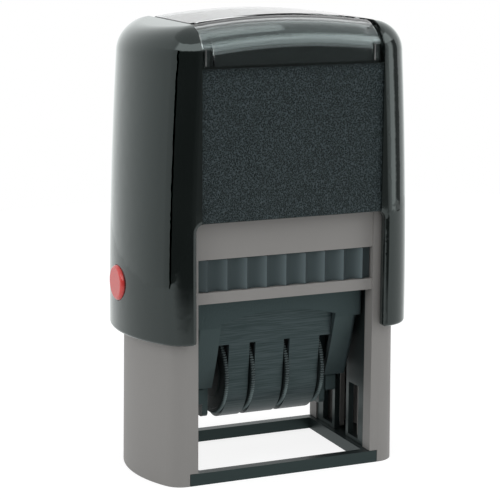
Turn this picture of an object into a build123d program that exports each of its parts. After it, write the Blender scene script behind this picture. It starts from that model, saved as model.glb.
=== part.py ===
from build123d import *
import os
from math import cos, pi, radians, sin, sqrt

os.makedirs("parts", exist_ok=True)

# A self-inking date stamp with a flip-over print unit. Millimetres, Z up, the
# origin at the middle of the footprint. At rest the cap is up and the rubber
# die faces the ink pad above it.

# The imprint, and how the die stands on its turning axis
DIE_LENGTH = 41.0
DIE_WIDTH = 24.0
DIE_REACH = 7.0
PAD_FACE = 45.3
PAD_GAP = 0.6
PAPER_GAP = 0.3
PIVOT_Z = PAD_FACE - PAD_GAP - DIE_REACH
PIVOT_LOW = DIE_REACH + PAPER_GAP
STROKE = PIVOT_Z - PIVOT_LOW
DIE_SWEEP = sqrt(DIE_REACH**2 + (DIE_WIDTH / 2) ** 2)

# Clearances
FIT = 0.1
RUN = 0.4
SHAFT_FIT = 0.05

# Widths from the middle outwards: print unit, column, guide, bridge, spring
UNIT_HALF = DIE_LENGTH / 2 + 1.2
BAY_HALF = UNIT_HALF + 0.36
GUIDE_FACE = BAY_HALF + 0.34
GUIDE_WALL = 1.4
LEG_FACE = GUIDE_FACE + GUIDE_WALL + FIT
BRIDGE_WALL = 1.4
SPRING_OD = 4.4
SPRING_WIRE = 0.7
SPRING_X = LEG_FACE + BRIDGE_WALL + 0.2 + SPRING_OD / 2

# Base shell
BASE_WALL = 1.5
BAND_STEP = 0.5
BAND_FACE = DIE_SWEEP + 0.7 + BASE_WALL
BASE_DEPTH = BAND_FACE + BAND_STEP
BASE_TOP_HALF = SPRING_X + SPRING_OD / 2 + 0.32 + BASE_WALL
BASE_SPREAD = 0.78
BASE_SIDE_RADIUS = 29.1
BASE_CORNER = 5.1
LIP_DEPTH = 3.7
LIP_WALL = 1.5
STRIP_TOP = PAD_FACE - 0.2
STRIP_HEIGHT = 2.6
CARTRIDGE_HEIGHT = 7.3
SLOT_TOP = STRIP_TOP + CARTRIDGE_HEIGHT + 0.3
DECK = 1.5
BASE_TOP = SLOT_TOP + 10.9
SPRING_SEAT = 40.0

# Foot frame and guide plates
FOOT_HEIGHT = 2.85
FOOT_HALF = BAY_HALF + 1.94
GUIDE_HALF = BASE_DEPTH - LIP_DEPTH - FIT
GUIDE_TOP = STRIP_TOP - 1.1
PIN_RADIUS = 2.5
SLOT_HALF = 3.1
FOLLOWER_DROP = 8.0
FOLLOWER_RADIUS = 1.5
TRACK_DEPTH = 0.9
CLIP = 0.8
HOOK = GUIDE_FACE + GUIDE_WALL + CLIP - BAY_HALF - LIP_WALL - FIT
WINDOW_TOP = 17.0
WINDOW_HALF = 2.6
WEB = 1.2
WEB_X = GUIDE_FACE + GUIDE_WALL + CLIP + FIT + WEB / 2

# Cap
CAP_WALL = 1.8
CAP_FACE_WALL = 2.2
CAP_FOOT = STROKE + 3.6
CAP_HALF = BASE_TOP_HALF + BASE_SPREAD + 1.25 + CAP_WALL
CAP_DEPTH = BASE_DEPTH + 1.0 + CAP_FACE_WALL
CAP_SIDE_RADIUS = 29.6
CAP_CORNER = 7.4
CAP_LEAN = 2000.0
CAP_ARCH = 145.0
SHOULDER = 7.0
LEG_GAP_HALF = BAY_HALF + 1.44
PANEL_FOOT = SLOT_TOP + 8.8
PANEL_HALF = LEG_GAP_HALF - 1.1
PANEL_SINK = 0.55
RIB = 1.4
LEDGE_Z = BASE_TOP + STROKE + 0.6
PANEL_TOP = LEDGE_Z + 1.4
CAP_TOP = LEDGE_Z + 12.5

# Index window and its card
WINDOW_WALL = 1.2
WINDOW_FIT = 0.15
CARD_WALL = 0.25
CARD_MARGIN = 1.9
CARD_DEPTH = 22.0
POCKET = WINDOW_WALL + 0.4

# Press bridge
BEAM_FOOT = BASE_TOP + STROKE + 2.8
BEAM = 2.8
BEAM_DEPTH = 12.0
BRIDGE_LEG = 8.6

# Lock buttons
BUTTON_Z = 45.6
BUTTON_RADIUS = 4.1
BUTTON_PROUD = 0.6
BUTTON_TRAVEL = 0.8

# Print unit: thumbwheels and bands inside their cover
WHEEL_Z = PIVOT_Z - 15.2
WHEEL_RADIUS = DIE_WIDTH / 2 - 1.5
WHEEL_DISC = 1.0
WHEEL_TEETH = 32
AXLE_RADIUS = 1.25
BAND = 1.3
ANVIL_RADIUS = 1.8
ANVIL_Z = PIVOT_Z + DIE_REACH - BAND - ANVIL_RADIUS
COVER_RADIUS = WHEEL_RADIUS - 1.6
COVER_DEPTH = WHEEL_RADIUS + 0.9
COVER_WALL = 1.0
COVER_HALF = 14.5
HUB_RADIUS = COVER_RADIUS - COVER_WALL - BAND - 0.6
WHEEL_X = (2.2 - COVER_HALF, -5.6, 3.2, COVER_HALF - 2.1)
BAND_SPLIT = (WHEEL_X[2] + WHEEL_X[3]) / 2
BAND_GAP = WHEEL_DISC / 2 + 0.4
BAND_PASS = ANVIL_RADIUS + BAND + 0.4
CHEEK = 1.4
CHEEK_X = COVER_HALF + FIT
CHEEK_HALF = 4.0
GRIP = 4.2
GRIP_REACH = 2.6

# Print unit: the die carrier, a rim with an arched skirt below it
PLATE = 1.8
PLATE_TOP = PIVOT_Z + 5.3
CUSHION = 0.7
RIM_FOOT = PIVOT_Z - 2.1
APRON_FACE = DIE_WIDTH / 2 + 0.2
APRON = 1.6
SKIRT_HALF = UNIT_HALF - 1.3
SKIRT_FOOT = WHEEL_Z - 2.6
SKIRT_LEAN = 5.7
ARCH_FOOT = PIVOT_Z - 1.2
ARCH_RISE = 2.1
HEAD_TOP = PLATE_TOP - PLATE - FIT
HEAD = 1.7
HEAD_DEPTH = 2 * (APRON_FACE - APRON) - 3.2
HEAD_LAND = 2.3
HEAD_PASS = BAND_PASS + 0.9


def outline(half, depth, side, corner, z):
    """Plan with flat front and back, bowed ends and rounded corners."""
    bow = side - sqrt(side**2 - depth**2)
    with BuildSketch(Plane.XY.offset(z)) as plan:
        with BuildLine():
            Line((bow - half, -depth), (half - bow, -depth))
            ThreePointArc((half - bow, -depth), (half, 0), (half - bow, depth))
            Line((half - bow, depth), (bow - half, depth))
            ThreePointArc((bow - half, depth), (-half, 0), (bow - half, -depth))
        make_face()
        fillet(plan.vertices(), corner)
    return plan.sketch


def base_plan(z, wall):
    """The base's plan at a height: its ends draw in slightly upwards."""
    half = BASE_TOP_HALF + BASE_SPREAD * (1 - z / BASE_TOP) - wall
    depth = BASE_DEPTH - wall
    return outline(half, depth, BASE_SIDE_RADIUS - wall, BASE_CORNER - wall, z)


def cap_plan(z, wall, face_wall):
    """The cap's plan at a height: its ends lean in along a shallow curve."""
    half = CAP_HALF - (z - CAP_FOOT) ** 2 / CAP_LEAN - wall
    depth = CAP_DEPTH - face_wall
    return outline(half, depth, CAP_SIDE_RADIUS - wall, CAP_CORNER - wall, z)


def cap_body(foot, wall, face_wall):
    """A solid of the cap's outer form, or of the same form drawn in by a wall."""
    step = (CAP_TOP + 2 - foot) / 3
    with BuildPart() as body:
        loft([cap_plan(foot + step * i, wall, face_wall) for i in range(4)])
        with BuildSketch(Plane.XZ):
            with Locations((0, CAP_TOP - wall - CAP_ARCH)):
                Circle(CAP_ARCH)
        extrude(amount=2 * CAP_DEPTH, both=True, mode=Mode.INTERSECT)
        top = body.faces().sort_by(Axis.Z)[-1]
        fillet(top.edges(), SHOULDER - face_wall)
    return body.part


# Base shell: two hollow columns, joined below the cartridge slot by two thin
# strips and above it by bands and a deck that carry the cartridge
with BuildPart() as base_shell:
    loft([base_plan(0, 0), base_plan(BASE_TOP, 0)])
    loft([base_plan(-1, BASE_WALL), base_plan(BASE_TOP + 1, BASE_WALL)], mode=Mode.SUBTRACT)
    # inner walls of the columns, with the sleeve that joins them
    with BuildSketch(Plane.XY):
        with Locations((BAY_HALF + LIP_WALL / 2, 0), (-BAY_HALF - LIP_WALL / 2, 0)):
            Rectangle(LIP_WALL, 2 * BASE_DEPTH - BASE_WALL)
    extrude(amount=BASE_TOP)
    with BuildSketch(Plane.XY.offset(STRIP_TOP - STRIP_HEIGHT)):
        Rectangle(2 * BAY_HALF + 1, 2 * BAND_FACE)
    extrude(until=None, amount=BASE_TOP - STRIP_TOP + STRIP_HEIGHT)
    # the well through which the die reaches the pad, and the room above the deck
    with BuildSketch(Plane.XY):
        Rectangle(2 * BAY_HALF, 2 * (BAND_FACE - BASE_WALL))
    extrude(amount=STRIP_TOP, mode=Mode.SUBTRACT)
    with BuildSketch(Plane.XY.offset(SLOT_TOP + DECK)):
        Rectangle(2 * BAY_HALF, 2 * (BAND_FACE - BASE_WALL))
    extrude(amount=BASE_TOP, mode=Mode.SUBTRACT)
    # stamping bay, cartridge slot and the set-back faces of the bands
    with BuildSketch(Plane.XY):
        Rectangle(2 * BAY_HALF, 3 * BASE_DEPTH)
    extrude(amount=STRIP_TOP - STRIP_HEIGHT, mode=Mode.SUBTRACT)
    with BuildSketch(Plane.XY.offset(STRIP_TOP)):
        Rectangle(2 * BAY_HALF, 3 * BASE_DEPTH)
    extrude(amount=SLOT_TOP - STRIP_TOP, mode=Mode.SUBTRACT)
    with BuildSketch(Plane.XY):
        Rectangle(2 * BAY_HALF, 3 * BASE_DEPTH)
        Rectangle(2 * BAY_HALF, 2 * BAND_FACE, mode=Mode.SUBTRACT)
    extrude(amount=BASE_TOP, mode=Mode.SUBTRACT)
    # windows for the guide plates between the lips
    with BuildSketch(Plane.XY):
        with Locations((BAY_HALF + 0.5, 0), (-BAY_HALF - 0.5, 0)):
            Rectangle(LIP_WALL + 2, 2 * (BASE_DEPTH - LIP_DEPTH))
    extrude(amount=GUIDE_TOP + FIT, mode=Mode.SUBTRACT)
    # notch that the foot frame fills
    with BuildSketch(Plane.XY):
        Rectangle(2 * (FOOT_HALF + FIT), 3 * BASE_DEPTH)
    extrude(amount=FOOT_HEIGHT + FIT, mode=Mode.SUBTRACT)
    # webs behind the guide plates' windows
    with BuildSketch(Plane.XY.offset(FOOT_HEIGHT + FIT)):
        with Locations((WEB_X, 0), (-WEB_X, 0)):
            Rectangle(WEB, 2 * (BASE_DEPTH - BASE_WALL + 0.2))
            Rectangle(WEB, BRIDGE_LEG + 2 * RUN, mode=Mode.SUBTRACT)
    extrude(amount=WINDOW_TOP + 1 - FOOT_HEIGHT)
    # shelves on which the springs stand
    with BuildSketch(Plane.XY.offset(SPRING_SEAT - BASE_WALL)):
        add(base_plan(0, BASE_WALL / 2 + BASE_SPREAD))
        Rectangle(2 * (LEG_FACE + BRIDGE_WALL + FIT), 3 * BASE_DEPTH, mode=Mode.SUBTRACT)
    extrude(amount=BASE_WALL)
base_shell.part.label = "base_shell"
export_step(base_shell.part, "parts/base_shell.step")

# Foot frame: closes both columns below and rings the stamping opening
with BuildPart() as foot_frame:
    with BuildSketch(Plane.XY):
        Rectangle(2 * FOOT_HALF, 2 * BASE_DEPTH)
    extrude(amount=FOOT_HEIGHT)
    with BuildSketch(Plane.XY.offset(0.4)):
        add(base_plan(0, BASE_WALL + FIT))
    extrude(amount=2.0)
    with BuildSketch(Plane.XY):
        Rectangle(DIE_LENGTH + 2 * RUN, 2 * (DIE_SWEEP + RUN))
    extrude(amount=FOOT_HEIGHT, mode=Mode.SUBTRACT)
foot_frame.part.label = "foot_frame"
export_step(foot_frame.part, "parts/foot_frame.step")

# Guide plate: a straight slot for the pivot pin and, sunk in its inner face,
# the track that turns the print unit over as the cap goes down
TRACK = [
    (FOLLOWER_DROP * sin(a), PIVOT_Z - STROKE * a / pi - FOLLOWER_DROP * cos(a))
    for a in [radians(15 * i) for i in range(13)]
]
with BuildPart() as guide_right:
    with BuildSketch(Plane.XY.offset(FOOT_HEIGHT + FIT)):
        with Locations((GUIDE_FACE + GUIDE_WALL / 2, 0)):
            Rectangle(GUIDE_WALL, 2 * GUIDE_HALF)
        for side in (-1, 1):
            with Locations((GUIDE_FACE + GUIDE_WALL, side * (GUIDE_HALF - 0.7))):
                Rectangle(2 * CLIP, 1.4)
            with Locations((GUIDE_FACE + GUIDE_WALL + CLIP, side * GUIDE_HALF)):
                Rectangle(HOOK, 3.0, align=(Align.MAX, Align.CENTER))
    extrude(amount=GUIDE_TOP - FOOT_HEIGHT - FIT)
    # windows below the track, onto the base's webs
    with BuildSketch(Plane.YZ.offset(GUIDE_FACE)):
        low = FOOT_HEIGHT + 1.0
        for side in (-1, 1):
            with Locations((side * (SLOT_HALF + 1.3 + WINDOW_HALF), (WINDOW_TOP + low) / 2)):
                Rectangle(2 * WINDOW_HALF, WINDOW_TOP - low)
    extrude(amount=GUIDE_WALL, mode=Mode.SUBTRACT)
    for leg in (TRACK[:7], TRACK[6:]):
        with BuildSketch(Plane.YZ.offset(GUIDE_FACE)):
            with Locations(*leg):
                Circle(FOLLOWER_RADIUS + 0.3)
            make_hull()
        extrude(amount=TRACK_DEPTH, mode=Mode.SUBTRACT)
    with BuildSketch(Plane.YZ.offset(GUIDE_FACE)):
        with Locations((0, PIVOT_Z)):
            Circle(SLOT_HALF)
            Rectangle(2 * SLOT_HALF, 2 * PIVOT_Z, align=(Align.CENTER, Align.MAX))
    extrude(amount=GUIDE_WALL + 1, mode=Mode.SUBTRACT)
guide_right.part.label = "guide_right"
export_step(guide_right.part, "parts/guide_right.step")

with BuildPart() as guide_left:
    mirror(guide_right.part, about=Plane.YZ)
guide_left.part.label = "guide_left"
export_step(guide_left.part, "parts/guide_left.step")

# Return springs between the columns' shelves and the press bridge
with BuildPart() as return_spring_right:
    with BuildSketch(Plane.XY.offset(SPRING_SEAT)):
        with Locations((SPRING_X, 0)):
            Circle(SPRING_OD / 2)
            Circle(SPRING_OD / 2 - SPRING_WIRE, mode=Mode.SUBTRACT)
    extrude(amount=BEAM_FOOT - SPRING_SEAT)
return_spring_right.part.label = "return_spring_right"
export_step(return_spring_right.part, "parts/return_spring_right.step")

with BuildPart() as return_spring_left:
    mirror(return_spring_right.part, about=Plane.YZ)
return_spring_left.part.label = "return_spring_left"
export_step(return_spring_left.part, "parts/return_spring_left.step")

# Ink cartridge: a tray with scalloped grips front and back, open below
FLUTE = 4.9
FLUTE_DEPTH = 0.9
CARTRIDGE_HALF = BAY_HALF - 0.26
CARTRIDGE_DEPTH = BAND_FACE - 0.2
CARTRIDGE_FOOT = STRIP_TOP + FIT
FLUTE_RADIUS = ((FLUTE / 2) ** 2 + FLUTE_DEPTH**2) / (2 * FLUTE_DEPTH)
PAD_HALF = DIE_LENGTH / 2 + 0.4
PAD_DEPTH = DIE_WIDTH / 2 + 0.6
PAD_HEIGHT = 3.0
with BuildPart() as ink_cartridge:
    with BuildSketch(Plane.XY.offset(CARTRIDGE_FOOT)):
        Rectangle(2 * CARTRIDGE_HALF, 2 * CARTRIDGE_DEPTH)
        reach = CARTRIDGE_DEPTH + FLUTE_RADIUS - FLUTE_DEPTH
        with Locations((0, reach), (0, -reach)):
            with GridLocations(FLUTE, 1, 10, 1):
                Circle(FLUTE_RADIUS, mode=Mode.SUBTRACT)
    extrude(amount=CARTRIDGE_HEIGHT)
    # clear of the die inside the strips, and the seat of the pad
    with BuildSketch(Plane.XY.offset(CARTRIDGE_FOOT)):
        Rectangle(2 * CARTRIDGE_HALF, 2 * (BAND_FACE - BASE_WALL - FIT))
    extrude(amount=0.7, mode=Mode.SUBTRACT)
    with BuildSketch(Plane.XY.offset(CARTRIDGE_FOOT)):
        Rectangle(2 * PAD_HALF + 2 * SHAFT_FIT, 2 * PAD_DEPTH + 2 * SHAFT_FIT)
    extrude(amount=PAD_FACE + PAD_HEIGHT - CARTRIDGE_FOOT, mode=Mode.SUBTRACT)
    # shallow well in the top
    with BuildSketch(Plane.XY.offset(CARTRIDGE_FOOT + CARTRIDGE_HEIGHT)):
        RectangleRounded(2 * PAD_HALF - 2, 2 * PAD_DEPTH - 2, 1.5)
    extrude(amount=-2.2, mode=Mode.SUBTRACT)
ink_cartridge.part.label = "ink_cartridge"
export_step(ink_cartridge.part, "parts/ink_cartridge.step")

with BuildPart() as ink_pad:
    with BuildSketch(Plane.XY.offset(PAD_FACE)):
        Rectangle(2 * PAD_HALF, 2 * PAD_DEPTH)
    extrude(amount=PAD_HEIGHT)
ink_pad.part.label = "ink_pad"
export_step(ink_pad.part, "parts/ink_pad.step")

# Cap shell: an arched hood on two wide legs, open between them, with sunk
# panels front and back and a pocket over its top for the index window
with BuildPart() as hollow:
    add(cap_body(CAP_FOOT - 2, CAP_WALL, CAP_FACE_WALL))
    with BuildSketch(Plane.XY.offset(LEDGE_Z)):
        Rectangle(2 * (PANEL_HALF + 1.5), 3 * CAP_DEPTH)
    extrude(amount=CAP_TOP, mode=Mode.SUBTRACT)
    add(cap_body(CAP_FOOT - 2, CAP_WALL + 1.2, CAP_WALL + 1.2))
with BuildPart() as ribs:
    with BuildSketch(Plane.XY.offset(BEAM_FOOT + BEAM + SHAFT_FIT)):
        for x in (PANEL_HALF / 2 + 0.8, PANEL_HALF - RIB):
            with Locations((x, 0), (-x, 0)):
                Rectangle(RIB, BEAM_DEPTH - 2)
    extrude(amount=CAP_TOP - BEAM_FOOT)
    add(cap_body(CAP_FOOT, CAP_WALL + 0.4, CAP_WALL + 0.4), mode=Mode.INTERSECT)
with BuildPart() as pocket:
    with BuildSketch(Plane.XY.offset(PANEL_TOP + 0.2)):
        Rectangle(2 * PANEL_HALF, 3 * CAP_DEPTH)
    extrude(amount=CAP_TOP)
    add(cap_body(CAP_FOOT, POCKET, POCKET), mode=Mode.SUBTRACT)
with BuildPart() as cap_shell:
    add(cap_body(CAP_FOOT, 0, 0))
    # the gap between the legs, its upper corners and its rim rounded
    with BuildSketch(Plane.XZ) as gap:
        with Locations((0, PANEL_FOOT)):
            Rectangle(2 * LEG_GAP_HALF, 2 * (PANEL_FOOT - CAP_FOOT) + 2)
            Rectangle(3 * LEG_GAP_HALF, 90, align=(Align.CENTER, Align.MIN), mode=Mode.SUBTRACT)
        fillet(gap.vertices().group_by(Axis.Y)[-1], 1.8)
    extrude(amount=2 * CAP_DEPTH, both=True, mode=Mode.SUBTRACT)
    rims = cap_shell.edges().filter_by(lambda e: abs(abs(e.center().X) - LEG_GAP_HALF) < 0.01)
    fillet(rims.filter_by(lambda e: abs(e.center().Y) > CAP_DEPTH - 0.1), 1.0)
    fillet(cap_shell.edges().group_by(Axis.Z)[0], 0.7)
    add(hollow.part, mode=Mode.SUBTRACT)
    add(ribs.part)
    add(pocket.part, mode=Mode.SUBTRACT)
    # sunk panels
    for side in (Plane.XZ.offset(CAP_DEPTH), Plane.XZ.offset(-CAP_DEPTH + PANEL_SINK)):
        with BuildSketch(side):
            with Locations((0, (PANEL_FOOT + PANEL_TOP) / 2)):
                Rectangle(2 * PANEL_HALF, PANEL_TOP - PANEL_FOOT)
        extrude(amount=-PANEL_SINK, mode=Mode.SUBTRACT)
    # holes for the lock buttons, counterbored from inside
    with BuildSketch(Plane.YZ):
        with Locations((0, BUTTON_Z)):
            Circle(BUTTON_RADIUS + FIT)
    extrude(amount=2 * CAP_HALF, both=True, mode=Mode.SUBTRACT)
    with BuildSketch(Plane.YZ):
        with Locations((0, BUTTON_Z)):
            Circle(BUTTON_RADIUS + 0.9 + FIT)
    extrude(amount=CAP_HALF - CAP_WALL + 0.8, both=True, mode=Mode.SUBTRACT)
cap_shell.part.label = "cap_shell"
export_step(cap_shell.part, "parts/cap_shell.step")

# Index window: a clear saddle clipped over the top of the cap
with BuildPart() as index_window:
    with BuildSketch(Plane.XY.offset(PANEL_TOP + 0.2 + WINDOW_FIT)):
        Rectangle(2 * (PANEL_HALF - WINDOW_FIT), 3 * CAP_DEPTH)
    extrude(amount=CAP_TOP)
    add(cap_body(CAP_FOOT, 0, 0), mode=Mode.INTERSECT)
    add(cap_body(CAP_FOOT, WINDOW_WALL, WINDOW_WALL), mode=Mode.SUBTRACT)
index_window.part.label = "index_window"
export_step(index_window.part, "parts/index_window.step")

with BuildPart() as index_card:
    with BuildSketch(Plane.XY.offset(PANEL_TOP)):
        Rectangle(2 * (PANEL_HALF - CARD_MARGIN), CARD_DEPTH)
    extrude(amount=CAP_TOP)
    lift = WINDOW_WALL + SHAFT_FIT
    add(cap_body(CAP_FOOT, lift, lift), mode=Mode.INTERSECT)
    add(cap_body(CAP_FOOT, lift + CARD_WALL, lift + CARD_WALL), mode=Mode.SUBTRACT)
index_card.part.label = "index_card"
export_step(index_card.part, "parts/index_card.step")

# Press bridge: a beam under the cap's ribs, with a leg down each column that
# carries the print unit's pivot pin, and a spigot for each spring
with BuildPart() as press_bridge:
    with BuildSketch(Plane.XY.offset(BEAM_FOOT)):
        RectangleRounded(2 * (SPRING_X + 2.5), BEAM_DEPTH, 2.5)
    extrude(amount=BEAM)
    for side in (-1, 1):
        with BuildSketch(Plane.YZ.offset(side * LEG_FACE)):
            with BuildLine():
                half = BRIDGE_LEG / 2
                Line((-half, BEAM_FOOT + 1), (-half, PIVOT_Z))
                ThreePointArc((-half, PIVOT_Z), (0, PIVOT_Z - half), (half, PIVOT_Z))
                Line((half, PIVOT_Z), (half, BEAM_FOOT + 1))
                Line((half, BEAM_FOOT + 1), (-half, BEAM_FOOT + 1))
            make_face()
            with Locations((0, PIVOT_Z)):
                Circle(PIN_RADIUS + SHAFT_FIT, mode=Mode.SUBTRACT)
        extrude(amount=side * BRIDGE_WALL)
    with BuildSketch(Plane.XY.offset(BEAM_FOOT)):
        with Locations((SPRING_X, 0), (-SPRING_X, 0)):
            Circle(SPRING_OD / 2 - SPRING_WIRE - 0.2)
    extrude(amount=-2.0)
press_bridge.part.label = "press_bridge"
export_step(press_bridge.part, "parts/press_bridge.step")

# Lock buttons: flanged from behind, sprung against the counterbores
BUTTON_TIP = CAP_HALF - (BUTTON_Z - CAP_FOOT) ** 2 / CAP_LEAN + BUTTON_PROUD
FLANGE_FACE = CAP_HALF - CAP_WALL + 0.8 - SHAFT_FIT
with BuildPart() as lock_button_right:
    with BuildSketch(Plane.YZ.offset(FLANGE_FACE - 0.9)):
        with Locations((0, BUTTON_Z)):
            Circle(BUTTON_RADIUS + 0.8)
    extrude(amount=0.9)
    with BuildSketch(Plane.YZ.offset(FLANGE_FACE - 0.9)):
        with Locations((0, BUTTON_Z)):
            Circle(BUTTON_RADIUS)
    extrude(amount=BUTTON_TIP - FLANGE_FACE + 0.9)
    fillet(lock_button_right.faces().sort_by(Axis.X)[-1].edges(), 0.7)
lock_button_right.part.label = "lock_button_right"
export_step(lock_button_right.part, "parts/lock_button_right.step")

with BuildPart() as lock_button_left:
    mirror(lock_button_right.part, about=Plane.YZ)
lock_button_left.part.label = "lock_button_left"
export_step(lock_button_left.part, "parts/lock_button_left.step")

def skirt(half, wall):
    """A block of the carrier's side view: its faces lean in below the rim."""
    face = APRON_FACE - wall
    foot = face - SKIRT_LEAN
    waist = (face + foot) / 2 + 0.4
    middle = (ARCH_FOOT + SKIRT_FOOT) / 2
    top = PLATE_TOP - PLATE
    with BuildPart() as block:
        with BuildSketch(Plane.YZ):
            with BuildLine():
                Polyline((-face, ARCH_FOOT), (-face, top), (face, top), (face, ARCH_FOOT))
                ThreePointArc((face, ARCH_FOOT), (waist, middle), (foot, SKIRT_FOOT))
                Line((foot, SKIRT_FOOT), (-foot, SKIRT_FOOT))
                ThreePointArc((-foot, SKIRT_FOOT), (-waist, middle), (-face, ARCH_FOOT))
            make_face()
        extrude(amount=half, both=True)
    return block.part


# Die carrier: the plate behind the die on a hollow skirt, arched front and back,
# with the pivot pins and the follower pins of the track on its ends
with BuildPart() as die_carrier:
    add(skirt(SKIRT_HALF, 0))
    edges = die_carrier.edges().filter_by(lambda e: abs(abs(e.center().X) - SKIRT_HALF) < 0.01)
    fillet(edges.filter_by(lambda e: SKIRT_FOOT + 1 < e.center().Z < ARCH_FOOT), 1.0)
    with BuildSketch(Plane.XY.offset(RIM_FOOT)):
        RectangleRounded(2 * UNIT_HALF, 2 * APRON_FACE, 1.0)
    extrude(amount=PLATE_TOP - PLATE - RIM_FOOT)
    with BuildSketch(Plane.XY.offset(RIM_FOOT + APRON)):
        Rectangle(2 * (UNIT_HALF - APRON), 2 * (APRON_FACE - APRON))
    extrude(amount=PLATE_TOP - PLATE - RIM_FOOT - APRON, mode=Mode.SUBTRACT)
    add(skirt(SKIRT_HALF - APRON, APRON), mode=Mode.SUBTRACT)
    with BuildSketch(Plane.XZ):
        with BuildLine():
            Polyline((-CHEEK_X, ARCH_FOOT), (-CHEEK_X, SKIRT_FOOT - 1),
                     (CHEEK_X, SKIRT_FOOT - 1), (CHEEK_X, ARCH_FOOT))
            ThreePointArc((CHEEK_X, ARCH_FOOT), (0, ARCH_FOOT + ARCH_RISE), (-CHEEK_X, ARCH_FOOT))
        make_face()
    extrude(amount=2 * APRON_FACE, both=True, mode=Mode.SUBTRACT)
    with BuildSketch(Plane.XY.offset(PLATE_TOP - PLATE)):
        Rectangle(DIE_LENGTH + 0.8, 2 * APRON_FACE)
        Rectangle(2 * COVER_HALF, 2 * BAND_PASS, mode=Mode.SUBTRACT)
    extrude(amount=PLATE)
    for side in (-1, 1):
        with BuildSketch(Plane.YZ.offset(side * (SKIRT_HALF - 0.5))):
            with Locations((0, PIVOT_Z)):
                Circle(PIN_RADIUS + 1.0)
            with Locations((0, PIVOT_Z - FOLLOWER_DROP)):
                Circle(FOLLOWER_RADIUS + 1.0)
            make_hull()
        extrude(amount=side * (UNIT_HALF - SKIRT_HALF + 0.5))
        with BuildSketch(Plane.YZ.offset(side * SKIRT_HALF)):
            with Locations((0, PIVOT_Z)):
                Circle(PIN_RADIUS)
        extrude(amount=side * (LEG_FACE + BRIDGE_WALL - FIT - SKIRT_HALF))
        with BuildSketch(Plane.YZ.offset(side * SKIRT_HALF)):
            with Locations((0, PIVOT_Z - FOLLOWER_DROP)):
                Circle(FOLLOWER_RADIUS)
        extrude(amount=side * (GUIDE_FACE + TRACK_DEPTH - 0.2 - SKIRT_HALF))
die_carrier.part.label = "die_carrier"
export_step(die_carrier.part, "parts/die_carrier.step")

# Rubber die on its cushion, with a window for the date between plain borders
with BuildPart() as die_cushion:
    with BuildSketch(Plane.XY.offset(PLATE_TOP)):
        Rectangle(DIE_LENGTH, DIE_WIDTH)
        Rectangle(2 * COVER_HALF, 2 * BAND_PASS, mode=Mode.SUBTRACT)
    extrude(amount=CUSHION)
die_cushion.part.label = "die_cushion"
export_step(die_cushion.part, "parts/die_cushion.step")

DIE_TOP = PIVOT_Z + DIE_REACH
RELIEF = 0.5
BORDER = 0.8
with BuildPart() as text_die:
    with BuildSketch(Plane.XY.offset(PLATE_TOP + CUSHION)):
        Rectangle(DIE_LENGTH, DIE_WIDTH)
        Rectangle(2 * COVER_HALF - 3.8, 2 * BAND_PASS - 0.4, mode=Mode.SUBTRACT)
    extrude(amount=DIE_TOP - RELIEF - PLATE_TOP - CUSHION)
    with BuildSketch(Plane.XY.offset(DIE_TOP - RELIEF)):
        Rectangle(DIE_LENGTH, DIE_WIDTH)
        Rectangle(DIE_LENGTH - 2 * BORDER, DIE_WIDTH - 2 * BORDER, mode=Mode.SUBTRACT)
        Rectangle(2 * COVER_HALF, 2 * BAND_PASS + 3)
        Rectangle(2 * COVER_HALF - 1.2, 2 * BAND_PASS + 1.8, mode=Mode.SUBTRACT)
    extrude(amount=RELIEF)
text_die.part.label = "text_die"
export_step(text_die.part, "parts/text_die.step")

# Date frame: cheeks that hold the wheel axle, a head plate, blocks for the ends
# of the anvil, and a grip bar outside each cheek, below the skirt
with BuildPart() as date_frame:
    with BuildSketch(Plane.XY.offset(HEAD_TOP - HEAD)):
        Rectangle(2 * (CHEEK_X + CHEEK), HEAD_DEPTH)
        Rectangle(2 * (COVER_HALF - HEAD_LAND), 2 * HEAD_PASS, mode=Mode.SUBTRACT)
    extrude(amount=HEAD)
    with BuildSketch(Plane.XY.offset(HEAD_TOP)):
        with Locations((COVER_HALF - 1.3, 0), (1.3 - COVER_HALF, 0)):
            Rectangle(2.0, 5.2)
    extrude(amount=PLATE_TOP - HEAD_TOP)
    with BuildSketch(Plane.YZ):
        with Locations((0, ANVIL_Z)):
            Circle(ANVIL_RADIUS + SHAFT_FIT)
    extrude(amount=CHEEK_X, both=True, mode=Mode.SUBTRACT)
    for side in (-1, 1):
        with BuildSketch(Plane.YZ.offset(side * CHEEK_X)) as cheek:
            with BuildLine():
                half = CHEEK_HALF
                head = HEAD_DEPTH / 2
                low = WHEEL_Z - WHEEL_RADIUS + 0.1
                Polyline((-half, low), (-half, WHEEL_Z + 7.5), (-head, RIM_FOOT),
                         (-head, HEAD_TOP - 0.5), (head, HEAD_TOP - 0.5), (head, RIM_FOOT),
                         (half, WHEEL_Z + 7.5), (half, low), close=True)
            make_face()
            fillet(cheek.vertices().group_by(Axis.Y)[0], 1.2)
            with Locations((0, WHEEL_Z)):
                Circle(AXLE_RADIUS + SHAFT_FIT, mode=Mode.SUBTRACT)
        extrude(amount=side * CHEEK)
        with BuildSketch(Plane.YZ.offset(side * (CHEEK_X + CHEEK))):
            with Locations((0, SKIRT_FOOT - RUN - GRIP / 2)):
                RectangleRounded(2 * CHEEK_HALF + 1.2, GRIP, 0.6)
        extrude(amount=side * GRIP_REACH)
date_frame.part.label = "date_frame"
export_step(date_frame.part, "parts/date_frame.step")

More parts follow.
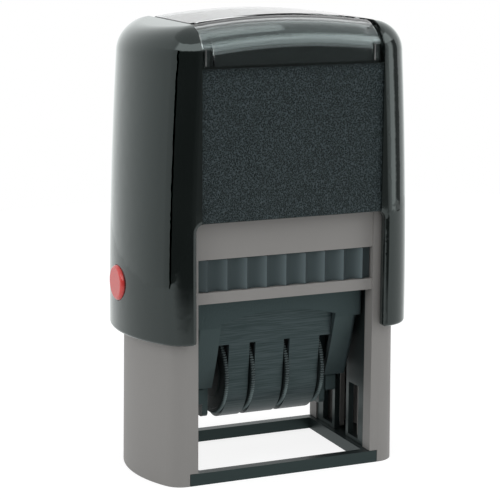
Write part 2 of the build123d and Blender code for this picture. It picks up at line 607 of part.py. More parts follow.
# Date cover: a curved guard, slotted and notched for the thumbwheels
SLOT_RISE = 8.3
with BuildPart() as date_cover:
    with BuildSketch(Plane.YZ) as guard:
        for wall in (0, COVER_WALL):
            radius = COVER_RADIUS - wall
            mouth = APRON_FACE - APRON - FIT - wall
            head = HEAD_TOP - HEAD - FIT
            mode = Mode.ADD if wall == 0 else Mode.SUBTRACT
            with Locations((0, WHEEL_Z)):
                Ellipse(radius, COVER_DEPTH - wall, mode=mode)
            with BuildLine():
                Polyline((-radius, WHEEL_Z), (-mouth, head), (mouth, head),
                         (radius, WHEEL_Z), close=True)
            make_face(mode=mode)
    extrude(amount=COVER_HALF, both=True)
    slot = WHEEL_DISC + 0.5
    with BuildSketch(Plane.XY.offset(WHEEL_Z - 2 * COVER_RADIUS)):
        with Locations((WHEEL_X[1], 0), (WHEEL_X[2], 0)):
            Rectangle(slot, 4 * COVER_RADIUS)
        with Locations((WHEEL_X[0] + slot / 2, 0)):
            Rectangle(COVER_HALF, 4 * COVER_RADIUS, align=(Align.MAX, Align.CENTER))
        with Locations((WHEEL_X[3] - slot / 2, 0)):
            Rectangle(COVER_HALF, 4 * COVER_RADIUS, align=(Align.MIN, Align.CENTER))
    extrude(amount=SLOT_RISE + 2 * COVER_RADIUS, mode=Mode.SUBTRACT)
date_cover.part.label = "date_cover"
export_step(date_cover.part, "parts/date_cover.step")

with BuildPart() as band_anvil:
    with BuildSketch(Plane.YZ):
        with Locations((0, ANVIL_Z)):
            Circle(ANVIL_RADIUS)
    extrude(amount=COVER_HALF - 0.4, both=True)
band_anvil.part.label = "band_anvil"
export_step(band_anvil.part, "parts/band_anvil.step")

with BuildPart() as wheel_axle:
    with BuildSketch(Plane.YZ):
        with Locations((0, WHEEL_Z)):
            Circle(AXLE_RADIUS)
    extrude(amount=CHEEK_X + CHEEK + 0.3, both=True)
wheel_axle.part.label = "wheel_axle"
export_step(wheel_axle.part, "parts/wheel_axle.step")

# Date bands, each an endless loop from its wheel's hub over the anvil
BAND_SPANS = (
    (WHEEL_X[0] + BAND_GAP, WHEEL_X[1] - BAND_GAP),
    (WHEEL_X[1] + BAND_GAP, WHEEL_X[2] - BAND_GAP),
    (WHEEL_X[2] + BAND_GAP, BAND_SPLIT - 0.25),
    (BAND_SPLIT + 0.25, WHEEL_X[3] - BAND_GAP),
)
for number, (left, right) in enumerate(BAND_SPANS, 1):
    with BuildPart() as date_band:
        with BuildSketch(Plane.YZ.offset(left)):
            with Locations((0, WHEEL_Z)):
                Circle(HUB_RADIUS + 0.3 + BAND)
            with Locations((0, ANVIL_Z)):
                Circle(ANVIL_RADIUS + BAND)
            make_hull()
            with BuildSketch(mode=Mode.PRIVATE) as loop:
                with Locations((0, WHEEL_Z)):
                    Circle(HUB_RADIUS + 0.3)
                with Locations((0, ANVIL_Z)):
                    Circle(ANVIL_RADIUS + SHAFT_FIT)
                make_hull()
            add(loop.sketch, mode=Mode.SUBTRACT)
        extrude(amount=right - left)
    date_band.part.label = f"date_band_{number}"
    export_step(date_band.part, f"parts/date_band_{number}.step")

# Thumbwheels: a knurled disc with the hub that drives its band
HUB_ENDS = (WHEEL_X[1] - 0.7, WHEEL_X[2] - 0.7, BAND_SPLIT - 0.1, BAND_SPLIT + 0.1)
for number, (x, end) in enumerate(zip(WHEEL_X, HUB_ENDS), 1):
    with BuildPart() as thumbwheel:
        with BuildSketch(Plane.YZ.offset(x - WHEEL_DISC / 2)):
            with Locations((0, WHEEL_Z)):
                Circle(WHEEL_RADIUS)
                with PolarLocations(WHEEL_RADIUS + 0.1, WHEEL_TEETH):
                    RegularPolygon(0.5, 4, mode=Mode.SUBTRACT)
        extrude(amount=WHEEL_DISC)
        with BuildSketch(Plane.YZ.offset(x)):
            with Locations((0, WHEEL_Z)):
                Circle(HUB_RADIUS)
        extrude(amount=end - x)
        with BuildSketch(Plane.YZ.offset(x)):
            with Locations((0, WHEEL_Z)):
                Circle(AXLE_RADIUS + SHAFT_FIT)
        extrude(amount=2 * COVER_HALF, both=True, mode=Mode.SUBTRACT)
    thumbwheel.part.label = f"thumbwheel_{number}"
    export_step(thumbwheel.part, f"parts/thumbwheel_{number}.step")
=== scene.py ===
from math import asin, cos, pi, radians, sin, sqrt

import bmesh
import bpy
from mathutils import Matrix, Vector


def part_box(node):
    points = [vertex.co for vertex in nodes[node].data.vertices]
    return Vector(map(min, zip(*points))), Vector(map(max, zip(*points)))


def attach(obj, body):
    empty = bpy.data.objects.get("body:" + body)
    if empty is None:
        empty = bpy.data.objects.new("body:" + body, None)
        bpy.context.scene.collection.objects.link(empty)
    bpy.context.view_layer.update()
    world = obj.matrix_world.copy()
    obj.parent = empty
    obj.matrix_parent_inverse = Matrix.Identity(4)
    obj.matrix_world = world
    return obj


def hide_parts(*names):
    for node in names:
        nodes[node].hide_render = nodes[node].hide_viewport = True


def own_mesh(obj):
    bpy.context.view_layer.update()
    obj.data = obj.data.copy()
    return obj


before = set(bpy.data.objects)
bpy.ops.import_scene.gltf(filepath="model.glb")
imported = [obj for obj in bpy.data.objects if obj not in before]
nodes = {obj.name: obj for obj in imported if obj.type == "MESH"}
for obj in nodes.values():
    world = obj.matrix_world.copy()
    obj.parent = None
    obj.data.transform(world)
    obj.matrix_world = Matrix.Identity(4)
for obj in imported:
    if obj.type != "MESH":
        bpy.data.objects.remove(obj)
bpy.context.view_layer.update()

# Base shell: the light grey moulding with a hollow column at each side, thin
# strips under the cartridge slot and a band above it. It is ABS from a mould
# with a fine spark-eroded finish, so it is satin and takes a soft light.


def connect(node, sockets):
    """Gives the sockets of a node their values or links."""
    for name, value in sockets.items():
        if isinstance(value, Wire):
            value.tree.links.new(value.socket, node.inputs[name])
        else:
            node.inputs[name].default_value = value


class Wire:
    """A socket of a shader tree, on which sums add Math nodes."""

    def __init__(self, tree, socket=None):
        self.tree = tree
        self.socket = socket

    def node(self, kind, settings=None, sockets=None, output=0):
        """Adds a node: its settings first, then the values or links of its sockets."""
        made = self.tree.nodes.new("ShaderNode" + kind)
        for name, value in (settings or {}).items():
            setattr(made, name, value)
        connect(made, sockets or {})
        return Wire(self.tree, made.outputs[output])

    def axis(self, name):
        """The X, Y or Z of a vector."""
        return self.node("SeparateXYZ", None, {"Vector": self}, output=name)

    def sum(self, operation, *values):
        return self.node("Math", {"operation": operation}, dict(enumerate(values)))

    def __add__(self, other):
        return self.sum("ADD", self, other)

    __radd__ = __add__

    def __sub__(self, other):
        return self.sum("SUBTRACT", self, other)

    def __rsub__(self, other):
        return self.sum("SUBTRACT", other, self)

    def __mul__(self, other):
        return self.sum("MULTIPLY", self, other)

    __rmul__ = __mul__

    def __truediv__(self, other):
        return self.sum("DIVIDE", self, other)

    def __abs__(self):
        return self.sum("ABSOLUTE", self)

    def __lt__(self, other):
        return self.sum("LESS_THAN", self, other)

    def __gt__(self, other):
        return self.sum("GREATER_THAN", self, other)


def finish_tree(name):
    """A new material, its surface shader, its tree and the place on the object in metres."""
    made = bpy.data.materials.new(name)
    made.use_nodes = True
    tree = made.node_tree
    wire = Wire(tree)
    place = wire.node("TexCoord", output="Object")
    return made, tree.nodes["Principled BSDF"], wire, place


def blend(wire, share, one, other):
    """Two colours mixed by a share from 0 to 1."""
    colours = {"Factor": share, "A": one, "B": other}
    return wire.node("Mix", {"data_type": "RGBA"}, colours, output="Result")


def noise(place, scale, detail):
    """Soft grains from 0 to 1, about scale of them to a metre."""
    return place.node("TexNoise", None, {"Vector": place, "Scale": scale, "Detail": detail})


def relief(height, strength, depth):
    """A height from 0 to 1 as relief of a depth in metres."""
    return height.node("Bump", None, {"Strength": strength, "Distance": depth, "Height": height})


def moulded(name, colour, rough, grain, depth, coat=0.0, mottle=0.12, tint=(1, 1, 1, 1)):
    """Moulded plastic: a faint cloud of tone, with the mould's grain in its gloss and relief."""
    grain_gloss = 0.16
    cloud_gloss = 0.08
    made, shader, wire, place = finish_tree(name)
    cloud = noise(place, 45.0, 3.0)
    speck = noise(place, grain, 2.0)
    dark = [c * (1 - mottle) for c in colour] + [1]
    light = [min(1, c * (1 + mottle)) for c in colour] + [1]
    smoothest = rough - (grain_gloss + cloud_gloss) / 2
    finish = {
        "Base Color": blend(wire, cloud, dark, light),
        "Roughness": speck * grain_gloss + cloud * cloud_gloss + smoothest,
        "Normal": relief(speck, depth, 0.00004),
        "Coat Weight": coat,
        "Coat Roughness": 0.06,
        "Specular Tint": tint,
    }
    connect(shader, finish)
    return made


def dress(material, *names):
    """Gives CAD nodes their finish."""
    for name in names:
        for slot in nodes[name].material_slots:
            slot.material = material


grey_abs = moulded("warm_grey_abs", (0.258, 0.252, 0.243), 0.5, 4200.0, 0.25, mottle=0.05)
dress(grey_abs, "base_shell")

# Foot frame and guide plates: black ABS, clipped up into the columns from
# below. Their ribs and slots are moulded, so the finish stays plain. The gloss
# of the black plastics leans to green and blue.

COOL_GLOSS = (0.7, 1.0, 0.98, 1)
black_abs = moulded("black_satin_abs", (0.013, 0.0175, 0.018), 0.36, 3600.0, 0.2, tint=COOL_GLOSS)
dress(black_abs, "foot_frame", "guide_left", "guide_right")

# Return springs: round drawn steel wire, coiled, standing on the columns'
# shelves and guided by the spigots under the press bridge. The turns lie a
# little closer towards both ends.

WIRE_RADIUS = 0.00034
COIL_PLAY = 0.00001
END_PLAY = 0.0004
TURNS = 11
TURN_STEPS = 20
CLOSER = 0.03
CLOSER_ENDS = 1 / 6


def metal(name, colour, rough):
    """Drawn or ground steel with fine lines in its gloss."""
    line_gloss = 0.2
    made, shader, wire, place = finish_tree(name)
    line = noise(place, 2600.0, 4.0)
    dark = [c * 0.8 for c in colour]
    finish = {
        "Base Color": blend(wire, line, [*dark, 1], [*colour, 1]),
        "Roughness": line * line_gloss + (rough - line_gloss / 2),
        "Metallic": 1.0,
    }
    connect(shader, finish)
    return made


def placed(name, data):
    """A new object in the scene."""
    made = bpy.data.objects.new(name, data)
    bpy.context.scene.collection.objects.link(made)
    return made


spring_steel = metal("spring_steel", (0.55, 0.55, 0.56), 0.3)
for side in ("left", "right"):
    low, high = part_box(f"return_spring_{side}")
    middle = (low + high) / 2
    coil_radius = (high[0] - low[0]) / 2 - WIRE_RADIUS - COIL_PLAY
    coil_height = high[2] - low[2] - 2 * END_PLAY
    curve = bpy.data.curves.new(f"coil_{side}", "CURVE")
    curve.dimensions = "3D"
    curve.bevel_depth = WIRE_RADIUS
    curve.bevel_resolution = 3
    coil = curve.splines.new("POLY")
    steps = TURNS * TURN_STEPS
    coil.points.add(steps)
    for i in range(steps + 1):
        share = i / steps
        near_end = max(0.0, 1 - min(share, 1 - share) / CLOSER_ENDS)
        drawn_in = near_end if share < 0.5 else -near_end
        rise = share + CLOSER * (drawn_in + 2 * share - 1)
        angle = 2 * pi * TURNS * share
        x = middle.x + coil_radius * cos(angle)
        y = middle.y + coil_radius * sin(angle)
        coil.points[i].co = (x, y, low[2] + END_PLAY + coil_height * rise, 1)
    drawn = placed(f"wire_{side}", curve)
    bpy.context.view_layer.update()
    mesh = bpy.data.meshes.new_from_object(drawn)
    bpy.data.objects.remove(drawn)
    mesh.materials.append(spring_steel)
    piece = placed(f"return_coil_{side}", mesh)
    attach(piece, "base")
    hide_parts(f"return_spring_{side}")
    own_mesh(piece)

# Ink cartridge: a slate grey tray whose fluted ends are the grips by which it
# is pushed out. It is waxy polypropylene. Each flute has painted light and shade:
# lighter on its crest and towards one side, darker down in its valley.

FLUTE = 0.0049
FLUTE_FOOT = 0.01495
FLUTE_CREST = 0.0159
made, shader, wire, place = finish_tree("slate_cartridge")
marks = {"Value": abs(place.axis("Y")), "From Min": FLUTE_FOOT, "From Max": FLUTE_CREST}
# Painted light and shade: each flute's colour is lighter on its crest and towards one side, and darker
# in its valley.
painted_crest_light = wire.node("MapRange", None, marks)
painted_side_light = wire.sum("FRACT", place.axis("X") / FLUTE)
painted_flute_shade = painted_crest_light * 0.35 + painted_side_light * 0.65
speck = noise(place, 3000.0, 2.0)
finish = {
    "Base Color": blend(wire, painted_flute_shade, [0.001, 0.003, 0.004, 1], [0.12, 0.15, 0.16, 1]),
    "Roughness": speck * 0.15 + (0.5 - painted_side_light * 0.2),
    "Normal": relief(speck, 0.2, 0.00003),
    "Specular IOR Level": 0.32,
    "Specular Tint": COOL_GLOSS,
}
connect(shader, finish)
dress(made, "ink_cartridge")

# Ink pad: felt under a woven cloth, cut to the tray and soaked with ink. The
# cloth is drawn tight, so it is crowned very slightly towards the die, and its
# lower edges are drawn in.

PAD_CUTS = 14
PAD_CROWN = 0.1
PAD_PULL = 0.02
PAD_RISE = 0.0002


def solid(name, shape, sharp=180):
    """A bmesh form as a smooth piece, its edges crisp above an angle in degrees."""
    mesh = bpy.data.meshes.new(name)
    shape.to_mesh(mesh)
    shape.free()
    for face in mesh.polygons:
        face.use_smooth = True
    mesh.set_sharp_from_angle(angle=radians(sharp))
    return placed(name, mesh)


low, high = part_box("ink_pad")
low[2] += PAD_RISE
shape = bmesh.new()
bmesh.ops.create_cube(shape, size=1.0)
bmesh.ops.subdivide_edges(shape, edges=shape.edges[:], cuts=PAD_CUTS, use_grid_fill=True)
for vert in shape.verts:
    x, y, z = 2 * vert.co
    below = max(0.0, -z)
    crown = PAD_CROWN * below * (1 - x**4) * (1 - y**4)
    drawn = 1 - PAD_PULL * max(abs(x), abs(y)) ** 12 * below**2
    for i, share in enumerate((x * drawn, y * drawn, z - crown)):
        vert.co[i] = (low[i] + high[i] + share * (high[i] - low[i])) / 2
inked_pad = solid("inked_pad", shape)

made, shader, wire, place = finish_tree("inked_cloth")
threads = [
    wire.node("TexWave", {"bands_direction": along}, {"Vector": place, "Scale": 900.0})
    for along in ("X", "Y")
]
weave = threads[0] * threads[1]
stain = noise(place, 120.0, 3.0)
finish = {
    "Base Color": blend(wire, stain, [0.004, 0.004, 0.012, 1], [0.016, 0.016, 0.04, 1]),
    "Roughness": weave * 0.25 + 0.45,
    "Normal": relief(weave, 0.5, 0.00008),
    "Sheen Weight": 0.2,
}
connect(shader, finish)
inked_pad.data.materials.append(made)
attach(inked_pad, "cartridge")
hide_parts("ink_pad")

# Cap shell: high-gloss black ABS with a sunk, leather-grained panel front and
# back. Gloss and grain come from the same mould, so one finish holds both, and
# the grain stops just inside the panel's lower edge.

PANEL_HALF = 0.0224
PANEL_FOOT = 0.0615
PANEL_TOP = 0.0960
PANEL_FACE = 0.0190
PANEL_EDGE = 0.0002


def step(value, start, end):
    """0 before start, 1 past end, smooth between."""
    marks = {"Value": value, "From Min": start, "From Max": end}
    return value.node("MapRange", {"interpolation_type": "SMOOTHSTEP"}, marks)


made, shader, wire, place = finish_tree("gloss_black_cap")
aside = abs(place.axis("X"))
depth = abs(place.axis("Y"))
height = place.axis("Z")
upright = (height > PANEL_FOOT + PANEL_EDGE) * (height < PANEL_TOP)
panel = (aside < PANEL_HALF) * upright * (depth > PANEL_FACE)
cells = wire.node("TexVoronoi", {"feature": "F1"}, {"Vector": place, "Scale": 3000.0})
cloud = noise(place, 60.0, 2.0)
pebble = step(cells * 0.5 + noise(place, 3900.0, 3.0) * 0.7, 0.48, 0.84)
skin = blend(wire, cloud, [0.006, 0.0075, 0.0072, 1], [0.0095, 0.0115, 0.011, 1])
leather = blend(wire, pebble, [0.002, 0.004, 0.005, 1], [0.07, 0.092, 0.101, 1])
finish = {
    "Base Color": blend(wire, panel, skin, leather),
    "Roughness": panel * (pebble * 0.2 + 0.32) + (1 - panel) * (cloud * 0.02 + 0.035),
    "Normal": relief(panel * pebble, 1.0, 0.0003),
    "Coat Weight": (1 - panel) * 0.75,
    "Coat Roughness": 0.035,
    "Coat Tint": (0.9, 1.0, 0.98, 1),
    "Specular IOR Level": 0.35,
    "Specular Tint": (0.78, 1.0, 0.98, 1),
}
connect(shader, finish)
dress(made, "cap_shell")

# Index window: one clear acrylic saddle that rolls over the cap's top, its flat
# middle a little proud of the rolled ends. It is injection moulded, and a catch
# in a notch at each lower corner holds it over the card.

ARCH = 0.145
ROLL = 0.0090
INNER_ROLL = 0.0076
WINDOW_WALL = 0.0009
MIDDLE_RISE = 0.00025
END_GAP = 0.00035
END_CHAMFER = 0.00015
LOWER_GAP = 0.0003
FOOT_RISE = 0.0002
NOTCH_WIDTH = 0.0023
NOTCH_HEIGHT = 0.0040
NOTCH_STEP = 0.00005
ROLL_STEPS = 14
COLUMN_STEPS = 12


def half_section(foot, reach, top, roll, shelf):
    """Front half of one section: foot, roll and the edge of the flat middle."""
    first = asin(max(0.0, (foot + FOOT_RISE - (top - roll)) / roll))
    angles = [first + (pi / 2 - first) * i / ROLL_STEPS for i in range(ROLL_STEPS + 1)]
    arc = [(roll - reach - roll * cos(a), top - roll + roll * sin(a)) for a in angles]
    return [(arc[0][0], foot)] + arc + [shelf]


def full_section(half):
    return half + [(-y, z) for y, z in reversed(half)]


low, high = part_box("index_window")
half_width = high[0] - END_GAP
notch = half_width - NOTCH_WIDTH
flat = high[1] - ROLL
spread = range(-COLUMN_STEPS, COLUMN_STEPS + 1)
inner_columns = [(notch - NOTCH_STEP) * i / COLUMN_STEPS for i in spread]
edge_columns = [notch, half_width - END_CHAMFER, half_width]
columns = [-x for x in reversed(edge_columns)] + inner_columns + edge_columns
shape = bmesh.new()
rows = []
for x in columns:
    crown = high[2] - ARCH + sqrt(ARCH**2 - x**2)
    foot = low[2] + (NOTCH_HEIGHT if abs(x) >= notch else LOWER_GAP)
    inset = END_CHAMFER if abs(x) == half_width else 0.0
    top = crown - inset
    outer = half_section(foot, high[1] - inset, top - MIDDLE_RISE, ROLL, (-flat, top))
    inner_top = crown - WINDOW_WALL
    inner = half_section(foot, high[1] - WINDOW_WALL, inner_top, INNER_ROLL, (-flat, inner_top))
    row = []
    for half in (outer, inner):
        row.append([shape.verts.new((x, y, z)) for y, z in full_section(half)])
    rows.append(row)
for (outer, inner), (next_outer, next_inner) in zip(rows, rows[1:]):
    for j in range(len(outer) - 1):
        shape.faces.new((outer[j], outer[j + 1], next_outer[j + 1], next_outer[j]))
        shape.faces.new((inner[j], next_inner[j], next_inner[j + 1], inner[j + 1]))
    shape.faces.new((outer[0], next_outer[0], next_inner[0], inner[0]))
    shape.faces.new((outer[-1], inner[-1], next_inner[-1], next_outer[-1]))
for outer, inner in (rows[0], rows[-1]):
    for j in range(len(outer) - 1):
        shape.faces.new((outer[j], inner[j], inner[j + 1], outer[j + 1]))

CATCH_WIDTH = 0.0011
CATCH_ROOT = 0.0001
CATCH_SINK = 0.0004
CATCH_BACK = 0.0002
TOOTH_SINK = 0.0001
TOOTH_HEIGHT = 0.0005
TOOTH_RAMP = 0.0006
head = low[2] + NOTCH_HEIGHT + CATCH_ROOT
foot = low[2] + LOWER_GAP
front = high[1] - CATCH_SINK
back = high[1] - WINDOW_WALL - CATCH_BACK
tooth = high[1] - TOOTH_SINK
tooth_top = foot + TOOTH_HEIGHT
hook = [
    (front, head),
    (back, head),
    (back, foot),
    (tooth, foot),
    (tooth, tooth_top),
    (front, tooth_top + TOOTH_RAMP),
]
for side in (-1, 1):
    for end in (-1, 1):
        middle = end * (half_width - NOTCH_WIDTH / 2)
        faces = []
        for x in (middle - CATCH_WIDTH / 2, middle + CATCH_WIDTH / 2):
            faces.append([shape.verts.new((x, side * y, z)) for y, z in hook])
            shape.faces.new(faces[-1])
        for j in range(len(hook)):
            k = (j + 1) % len(hook)
            shape.faces.new((faces[0][j], faces[0][k], faces[1][k], faces[1][j]))
bmesh.ops.recalc_face_normals(shape, faces=shape.faces)

clear_window = solid("clear_window", shape, 30)
made, shader, wire, place = finish_tree("clear_acrylic")
finish = {
    "Base Color": (0.9, 0.93, 0.93, 1),
    "Roughness": noise(place, 70.0, 3.0) * 0.03 + 0.01,
    "Transmission Weight": 1.0,
    "IOR": 1.49,
    "Specular Tint": (0.85, 1.0, 1.0, 1),
}
connect(shader, finish)
clear_window.data.materials.append(made)
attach(clear_window, "cap")
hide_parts("index_window")

# Index card: a slip of thin card, printed dark and left blank. It lies loose
# between the cap's pocket and the window, which holds it flat.

made, shader, wire, place = finish_tree("index_card_stock")
fibre = noise(place, 900.0, 4.0)
finish = {
    "Base Color": blend(wire, fibre, [0.012, 0.015, 0.016, 1], [0.02, 0.024, 0.026, 1]),
    "Roughness": 0.7,
}
connect(shader, finish)
dress(made, "index_card")

# Press bridge: the yoke under the cap's ribs, hidden but for its legs in the
# columns. It is moulded in the same black ABS as the foot frame.

dress(black_abs, "press_bridge")

# Lock buttons: glossy red ABS pips, one in each leg of the cap. They are moulded
# with a polished face and slide in a hole of the leg.

red_abs = moulded("red_button_abs", (0.66, 0.055, 0.05), 0.22, 2500.0, 0.1, coat=0.3)
dress(red_abs, "lock_button_left", "lock_button_right")

# Print unit: die carrier, date frame and cover, moulded in black acetal that is
# greyer and waxier than the cap. The cover has fine lines across the stamp in
# its tone, gloss and relief.

LINE_PITCH = (140.0, 4300.0, 4300.0)
acetal = moulded("black_acetal", (0.03, 0.042, 0.045), 0.33, 3000.0, 1.0, mottle=0.3, tint=COOL_GLOSS)
dress(acetal, "die_carrier", "date_frame")

made, shader, wire, place = finish_tree("lined_acetal")
line = noise(wire.node("VectorMath", {"operation": "MULTIPLY"}, {0: place, 1: LINE_PITCH}), 1.0, 3.0)
streak = step(line, 0.35, 0.65)
finish = {
    "Base Color": blend(wire, streak, [0.013, 0.0195, 0.022, 1], [0.042, 0.054, 0.059, 1]),
    "Roughness": line * 0.3 + 0.2,
    "Normal": relief(line, 0.6, 0.00002),
    "Specular Tint": COOL_GLOSS,
}
connect(shader, finish)
dress(made, "date_cover")

# Die cushion: closed-cell foam sheet, die cut with its date window and glued
# behind the rubber, so its cut edges pull in a little at the glue lines.

EDGE_STEPS = 12
EDGE_PULL = 0.0003
OPENING_HALF = (0.0145, 0.0035)


def around(shape, half_x, half_y, z):
    """Points round a rectangle, EDGE_STEPS to each side."""
    corners = [(-half_x, -half_y), (half_x, -half_y), (half_x, half_y), (-half_x, half_y)]
    points = []
    for (x, y), (next_x, next_y) in zip(corners, corners[1:] + corners[:1]):
        for i in range(EDGE_STEPS):
            share = i / EDGE_STEPS
            points.append(shape.verts.new((x + (next_x - x) * share, y + (next_y - y) * share, z)))
    return points


def close_rings(shape, rings):
    """Faces between each ring of points and the next, and from the last to the first."""
    for ring, next_ring in zip(rings, rings[1:] + rings[:1]):
        for i in range(len(ring)):
            j = (i + 1) % len(ring)
            shape.faces.new((ring[i], ring[j], next_ring[j], next_ring[i]))
    bmesh.ops.recalc_face_normals(shape, faces=shape.faces)


low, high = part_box("die_cushion")
levels = [(low[2], EDGE_PULL), ((low[2] + high[2]) / 2, 0.0), (high[2], EDGE_PULL)]
shape = bmesh.new()
rings = [around(shape, high[0] - pull, high[1] - pull, z) for z, pull in levels]
for z, pull in reversed(levels):
    rings.append(around(shape, OPENING_HALF[0] + pull, OPENING_HALF[1] + pull, z))
close_rings(shape, rings)
cut_foam = solid("cut_foam", shape, 50)
cut_foam.data.materials.append(moulded("grey_foam", (0.09, 0.09, 0.09), 0.85, 1500.0, 0.8))
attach(cut_foam, "print_unit")
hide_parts("die_cushion")

# Rubber die, date bands and their steel axle and anvil: the die is moulded
# plain between its borders, and the bands are vulcanised endless loops.

die_rubber = moulded("die_rubber", (0.2, 0.035, 0.03), 0.55, 1800.0, 0.3)
dress(die_rubber, "text_die")

band_rubber = moulded("band_rubber", (0.045, 0.045, 0.047), 0.6, 1800.0, 0.4)
dress(band_rubber, *[f"date_band_{n}" for n in range(1, 5)])

axle_steel = metal("ground_steel", (0.6, 0.6, 0.61), 0.25)
dress(axle_steel, "wheel_axle", "band_anvil")

# Thumbwheels: black nylon, turned over by a fingertip through the cover's
# slots. Each is a thin disc with a shallow groove in its face, a fine straight
# knurl on its rounded rim, and the hub that drives its band.

WHEEL_RADIUS = 0.0105
WHEEL_RIM = 0.0010
HUB_RADIUS = 0.0060
BORE = 0.0013
GROOVE_INNER = 0.0064
GROOVE_OUTER = 0.0094
GROOVE_DEPTH = 0.00018
GROOVE_SLOPE = 0.0002
KNURLS = 108
KNURL_DEPTH = 0.00042
KNURL_FOOT = WHEEL_RADIUS - 0.0007
SHOULDER = WHEEL_RADIUS - 0.0003
SHOULDER_IN = 0.00004
CREST = WHEEL_RADIUS - 0.00006
CREST_IN = 0.00022
RIM_BAND_FROM = WHEEL_RADIUS - 0.0005
RIM_BAND_FULL = WHEEL_RADIUS - 0.00015

low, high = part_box("thumbwheel_1")
axle = (low[2] + high[2]) / 2
wheel_nylon, shader, wire, place = finish_tree("black_nylon_wheel")
depth = place.axis("Y")
lift = place.axis("Z") - axle
# Painted highlight: the colour grows lighter on the outer rim, which is also smoother in its gloss.
rim_smooth_and_highlight = step(wire.sum("SQRT", depth * depth + lift * lift), RIM_BAND_FROM, RIM_BAND_FULL)
speck = noise(place, 2600.0, 2.0)
painted_rim_highlight = blend(wire, rim_smooth_and_highlight, [0.004, 0.005, 0.0055, 1], [0.13, 0.16, 0.165, 1])
finish = {
    "Base Color": blend(wire, speck * 0.5, painted_rim_highlight, [0.01, 0.012, 0.013, 1]),
    "Roughness": 0.55 - rim_smooth_and_highlight * 0.25 + speck * 0.1,
    "Specular Tint": COOL_GLOSS,
}
connect(shader, finish)

for number in range(1, 5):
    low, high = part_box(f"thumbwheel_{number}")
    rim_face, inward = (high[0], -1) if number == 4 else (low[0], 1)
    hub = high[0] - low[0]
    section = [
        (0.0, BORE, 0),
        (0.0, GROOVE_INNER, 0),
        (GROOVE_DEPTH, GROOVE_INNER + GROOVE_SLOPE, 0),
        (GROOVE_DEPTH, GROOVE_OUTER - GROOVE_SLOPE, 0),
        (0.0, GROOVE_OUTER, 0),
        (0.0, KNURL_FOOT, 0),
        (SHOULDER_IN, SHOULDER, 0.9),
        (CREST_IN, CREST, 1),
        (WHEEL_RIM / 2, WHEEL_RADIUS, 1),
        (WHEEL_RIM - CREST_IN, CREST, 1),
        (WHEEL_RIM, SHOULDER, 0.6),
        (WHEEL_RIM, HUB_RADIUS, 0),
        (hub, HUB_RADIUS, 0),
        (hub, BORE, 0),
    ]
    shape = bmesh.new()
    rings = []
    for along, radius, knurled in section:
        ring = []
        for i in range(2 * KNURLS):
            angle = pi * i / KNURLS
            reach = radius - KNURL_DEPTH * knurled * (i % 2)
            spot = (rim_face + inward * along, reach * sin(angle), axle + reach * cos(angle))
            ring.append(shape.verts.new(spot))
        rings.append(ring)
    close_rings(shape, rings)
    wheel = solid(f"knurled_wheel_{number}", shape, 25)
    wheel.data.materials.append(wheel_nylon)
    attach(wheel, f"wheel_{number}")
    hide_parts(f"thumbwheel_{number}")

# Table: a round white table, lit from within for the camera and the gloss and
# plain paper for all other rays. In the gloss it is a little dimmer, and dark
# far out in front, in the shade of the drape. Its sectors are in degrees.

TABLE_RADIUS = 0.34
TABLE_SHIFT = 0.08
TABLE_SIDES = 96
SHADE_LEFT = (-72, -40)
SHADE_RIGHT = (10, 34)
SHADE_AHEAD = (0.12, 0.24)


def ray(wire, *kinds):
    """1 for rays of the kinds that are named, 0 for others."""
    found = 0.0
    for kind in kinds:
        found = found + wire.node("LightPath", output=f"Is {kind} Ray")
    return wire.sum("MINIMUM", found, 1.0)


def heading_of(place):
    """Degrees to the right of straight ahead, as seen from the stamp."""
    return place.sum("ARCTAN2", place.axis("X"), 0 - place.axis("Y")) * (180 / pi)


shape = bmesh.new()
bmesh.ops.create_circle(shape, cap_ends=True, segments=TABLE_SIDES, radius=TABLE_RADIUS)
bmesh.ops.translate(shape, verts=shape.verts, vec=(TABLE_SHIFT, 0, 0))
table = solid("table", shape)

made, shader, wire, place = finish_tree("white_table")
made.node_tree.nodes.remove(shader)
paper = wire.node("BsdfDiffuse", None, {"Color": (0.85, 0.85, 0.85, 1)})
grey = wire.node("BsdfDiffuse", None, {"Color": (0.3, 0.3, 0.3, 1)})
dim = wire.node("BsdfDiffuse", None, {"Color": (0.04, 0.04, 0.04, 1)})
glow = wire.node("Emission", None, {"Color": (1, 1, 1, 1), "Strength": 0.83})
lit = wire.node("AddShader", None, {0: grey, 1: glow})
heading = heading_of(place)
ahead = 0 - place.axis("Y")
sector = step(heading, *SHADE_LEFT) * (1 - step(heading, *SHADE_RIGHT))
shadow = sector * step(ahead, *SHADE_AHEAD) * 0.8 + 0.2
mirrored = shadow * ray(wire, "Glossy", "Transmission")
shaded = wire.node("MixShader", None, {0: mirrored, 1: lit, 2: dim})
seen = ray(wire, "Camera", "Glossy", "Transmission")
surface = wire.node("MixShader", None, {0: seen, 1: paper, 2: shaded})
connect(made.node_tree.nodes["Material Output"], {"Surface": surface})
table.data.materials.append(made)

# Room: the camera sees plain white, and gloss and clear plastic see a room that
# is white at the left and behind, with a black drape in front, a bright strip and
# a dim stretch beside it, and a soft light high in front. Marks are in degrees.

LOW_DOWN = 22
DRAPE_LEFT = -70
DRAPE_FADES = (0, 30)
DRAPE_RIGHT = 40
STRIP = (44, 62)
DIM_RIGHT = (66, 88)
FADE_LEFT = (-130, -68)
HIGH_LIGHT = (25, 50)
HIGH_LIGHT_SIDES = (-80, 75)
OVERHEAD = 50


def band(value, start, end, soft):
    """1 between two marks, with soft edges."""
    return step(value, start - soft, start + soft) * (1 - step(value, end - soft, end + soft))


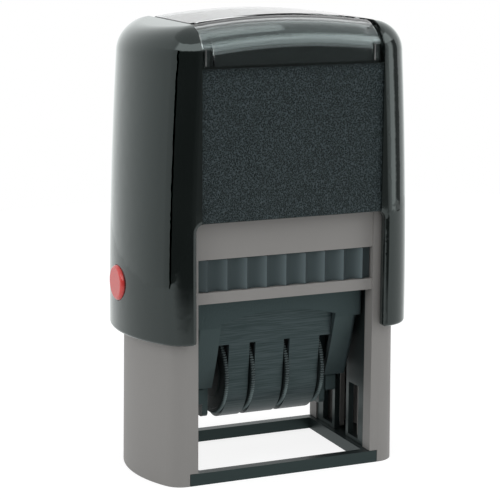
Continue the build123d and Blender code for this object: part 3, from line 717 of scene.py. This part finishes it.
world = bpy.data.worlds.new("studio")
bpy.context.scene.world = world
world.use_nodes = True
tree = world.node_tree
wire = Wire(tree)
towards = wire.node("TexCoord", output="Generated")
heading = heading_of(towards)
height = wire.sum("ARCSINE", towards.axis("Z")) * (180 / pi)
low_down = 1 - step(height, LOW_DOWN, LOW_DOWN + 3)
drape_end = 0.85 * step(heading, DRAPE_FADES[1], DRAPE_RIGHT) + 0.15 * step(heading, *DRAPE_FADES)
drape = step(heading, DRAPE_LEFT, DRAPE_LEFT + 3) * (1 - drape_end) * low_down
strip = band(heading, *STRIP, 3) * low_down
dim_right = band(heading, *DIM_RIGHT, 3) * low_down
fading = step(heading, *FADE_LEFT) * (1 - step(heading, FADE_LEFT[1] + 1, FADE_LEFT[1] + 8)) * low_down
high_light = band(height, *HIGH_LIGHT, 1) * band(heading, *HIGH_LIGHT_SIDES, 8)
overhead = step(height, OVERHEAD, OVERHEAD + 2)
lights = 1 + strip + 1.5 * high_light
room = lights - 0.97 * drape - 0.8 * dim_right - 0.3 * fading - 0.25 * overhead
open_sky = ray(wire, "Camera")
gloss = ray(wire, "Glossy", "Transmission")
strength = open_sky + gloss * room + (1 - open_sky) * (1 - gloss) * 0.5
connect(tree.nodes["Background"], {"Color": (1, 1, 1, 1), "Strength": strength})

# Lamps: three large soft lights that shape the stamp and cast the shadow on the
# table. Gloss doesn't see their squares, only the room.

LAMP_AIM = Vector((0, 0, 0.05))


def soft_light(name, place, width, height, power):
    """A large lamp turned to the stamp, its sides in metres and its power in watts."""
    lamp = bpy.data.lights.new(name, "AREA")
    lamp.shape = "RECTANGLE"
    lamp.size = width
    lamp.size_y = height
    lamp.energy = power
    piece = placed(name, lamp)
    piece.location = place
    piece.rotation_euler = (LAMP_AIM - Vector(place)).to_track_quat("-Z", "Y").to_euler()
    piece.visible_glossy = False


soft_light("left_softbox", (-0.75, -0.35, 0.45), 0.5, 0.7, 2.2)
soft_light("right_softbox", (0.7, -0.45, 0.35), 0.35, 0.7, 1.9)
soft_light("top_softbox", (0.0, 0.0, 0.9), 0.7, 0.5, 1.6)

# Camera: where the photograph was taken from, worked out from points of the
# stamp that can be seen in it. It stands in front and a little to the left, and
# looks down on the cap.

CAMERA_PLACE = (-0.17423, -0.39181, 0.13834)
CAMERA_TURN = -23.71
CAMERA_TILT = 11.58
CAMERA_ROLL = 0.35
FOCAL_LENGTH = 132.86
SENSOR_WIDTH = 36

lens = bpy.data.cameras.new("camera")
lens.lens = FOCAL_LENGTH
lens.sensor_width = SENSOR_WIDTH
camera = placed("camera", lens)
camera.matrix_world = (
    Matrix.Translation(CAMERA_PLACE)
    @ Matrix.Rotation(radians(CAMERA_TURN), 4, "Z")
    @ Matrix.Rotation(radians(90 - CAMERA_TILT), 4, "X")
    @ Matrix.Rotation(radians(CAMERA_ROLL), 4, "Z")
)
bpy.context.scene.camera = camera
bpy.context.scene.view_settings.view_transform = "Standard"
